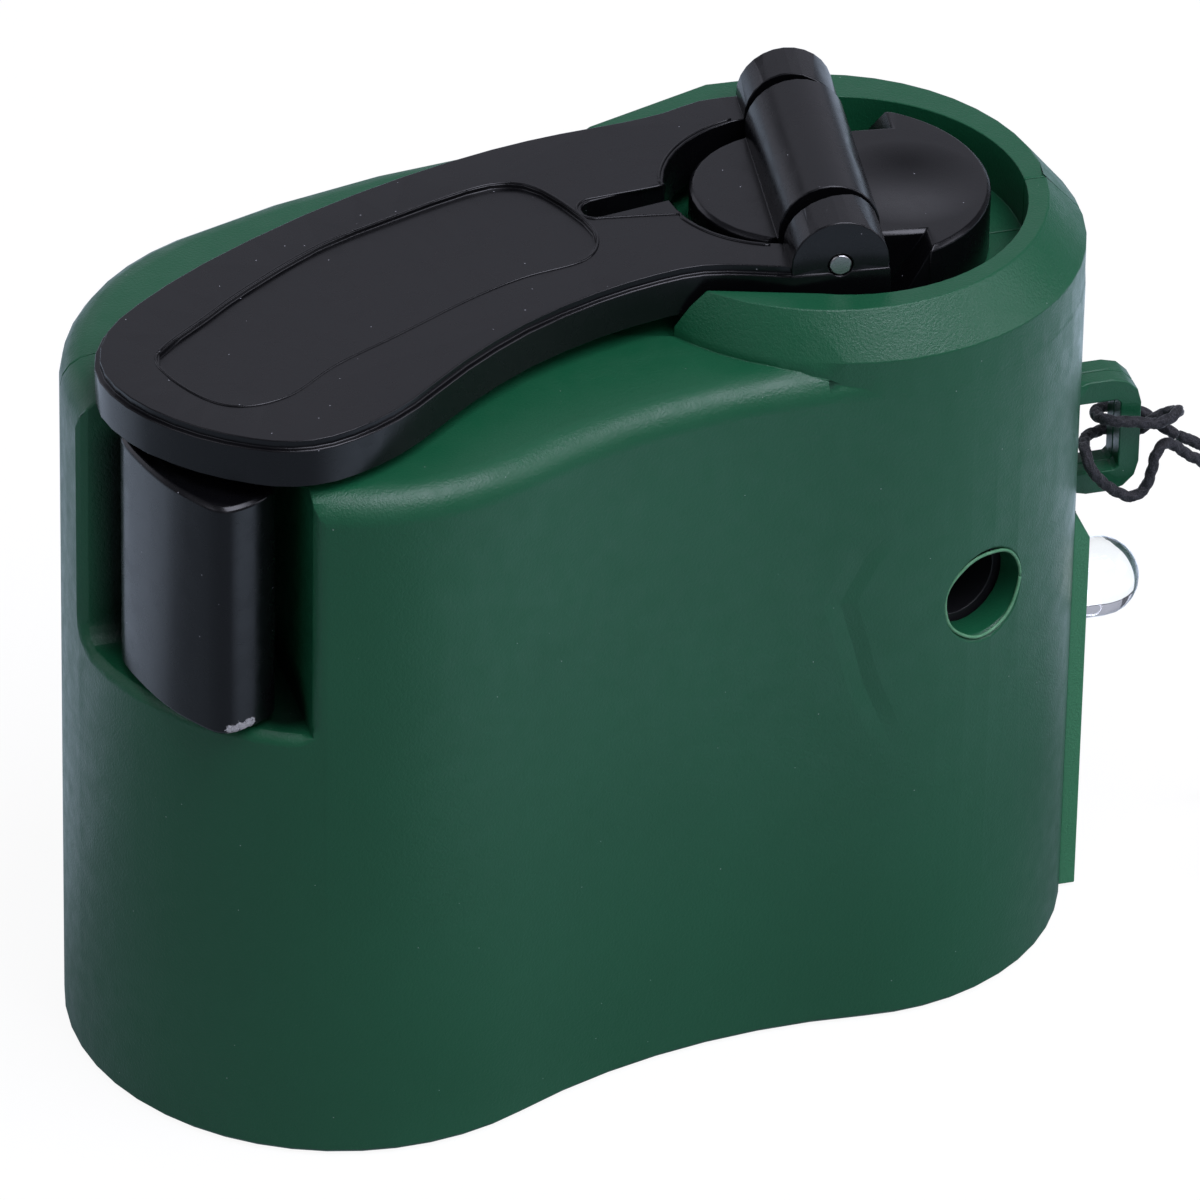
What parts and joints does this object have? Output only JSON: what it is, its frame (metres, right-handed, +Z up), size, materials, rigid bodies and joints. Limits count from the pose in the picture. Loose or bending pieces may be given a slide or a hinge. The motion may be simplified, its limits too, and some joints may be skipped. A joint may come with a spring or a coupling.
{
  "type": "hand crank generator",
  "caption": "Pocket hand crank generator with a folding crank, step-up gears, a charging outlet, a power socket, an end lamp and a wrist cord.",
  "frame": {"origin": "where the crank axis meets the underside", "axes": "+X towards the end with the lamp, +Z up along the crank axis, -Y towards the side with the grip's bay"},
  "size_m": [0.1067, 0.0457, 0.0658],
  "materials": {
    "housing_green": "fine moulded texture, satin",
    "crank_black": "smooth moulded",
    "steel": "plain",
    "dark_iron": "matt",
    "gear_nylon": "smooth moulded",
    "cap_cream": "smooth moulded",
    "brass": "plain",
    "board_green": "solder mask",
    "socket_black": "moulded",
    "tongue_white": "moulded",
    "lamp_clear": "clear cast resin",
    "wire_red": "insulated wire",
    "cord_black": "braided nylon"
  },
  "bodies": {
    "housing": {"front_shell": "housing_green", "back_shell": "housing_green", "shell_screw_1": "steel", "shell_screw_2": "steel", "shell_screw_3": "steel", "shell_screw_4": "steel", "hub_bush": "gear_nylon", "lower_gear_plate": "gear_nylon", "upper_gear_plate": "gear_nylon", "gear_plate_screw_1": "steel", "gear_plate_screw_2": "steel", "gear_plate_screw_3": "steel", "gear_plate_screw_4": "steel", "first_axle": "steel", "second_axle": "steel", "generator_can": "steel", "generator_end_cap": "cap_cream", "generator_magnet_1": "dark_iron", "generator_magnet_2": "dark_iron", "generator_terminal_1": "brass", "generator_terminal_2": "brass", "generator_lead_1": "wire_red", "generator_lead_2": "wire_red", "circuit_board": "board_green", "board_screw_1": "steel", "board_screw_2": "steel", "board_inductor": "socket_black", "board_capacitor": "brass", "board_regulator": "socket_black", "usb_socket_shell": "steel", "usb_socket_tongue": "tongue_white", "dc_jack_body": "socket_black", "dc_jack_pin": "steel", "led_lamp": "lamp_clear", "lamp_switch_body": "socket_black", "lanyard_hitch": "cord_black", "lanyard_strand_out": "cord_black", "lanyard_coil": "cord_black", "lanyard_strand_back": "cord_black"},
    "crank": {"crank_hub": "crank_black", "crank_shaft": "steel", "crank_gear": "gear_nylon", "shaft_washer": "steel", "shaft_screw": "steel"},
    "arm": {"crank_arm": "crank_black", "hinge_pin": "steel", "handle_washer": "steel", "handle_screw": "steel"},
    "grip": {"handle_grip": "crank_black"},
    "first_stage": {"first_gear": "gear_nylon"},
    "second_stage": {"second_gear": "gear_nylon"},
    "rotor": {"generator_shaft": "steel", "generator_rotor": "dark_iron", "generator_commutator": "brass", "generator_pinion": "brass"},
    "lamp_knob": {"lamp_switch_slider": "crank_black"}
  },
  "joints": [
    {"name": "crank_spin", "type": "hinge", "parent": "housing", "child": "crank", "pos_m": [0, 0, 0.058], "axis": [0, 0, 1], "range_deg": [-0.4, 0.6]},
    {"name": "arm_fold", "type": "hinge", "parent": "crank", "child": "arm", "pos_m": [-0.00208, 0.00026, 0.0621], "axis": [0.1236, 0.9923, 0], "range_deg": [0, 180]},
    {"name": "handle_spin", "type": "hinge", "parent": "arm", "child": "grip", "pos_m": [-0.05099, -0.01471, 0.06063], "axis": [0, 0, 1], "range_deg": [-8, 12]},
    {"name": "first_gear_spin", "type": "hinge", "parent": "housing", "child": "first_stage", "pos_m": [-0.01753, -0.00153, 0.045], "axis": [0, 0, 1], "continuous": true},
    {"name": "second_gear_spin", "type": "hinge", "parent": "housing", "child": "second_stage", "pos_m": [-0.03205, 0.00263, 0.042], "axis": [0, 0, 1], "continuous": true},
    {"name": "rotor_spin", "type": "hinge", "parent": "housing", "child": "rotor", "pos_m": [-0.03594, -0.00936, 0.025], "axis": [0, 0, 1], "continuous": true},
    {"name": "lamp_switch_slide", "type": "slide", "parent": "housing", "child": "lamp_knob", "axis": [1, 0, 0], "range_m": [0, 0.003]}
  ],
  "couplings": [
    {"joint": "first_gear_spin", "follows": "crank_spin", "ratio": -4.8333},
    {"joint": "second_gear_spin", "follows": "crank_spin", "ratio": 19.333},
    {"joint": "rotor_spin", "follows": "crank_spin", "ratio": -77.333}
  ]
}
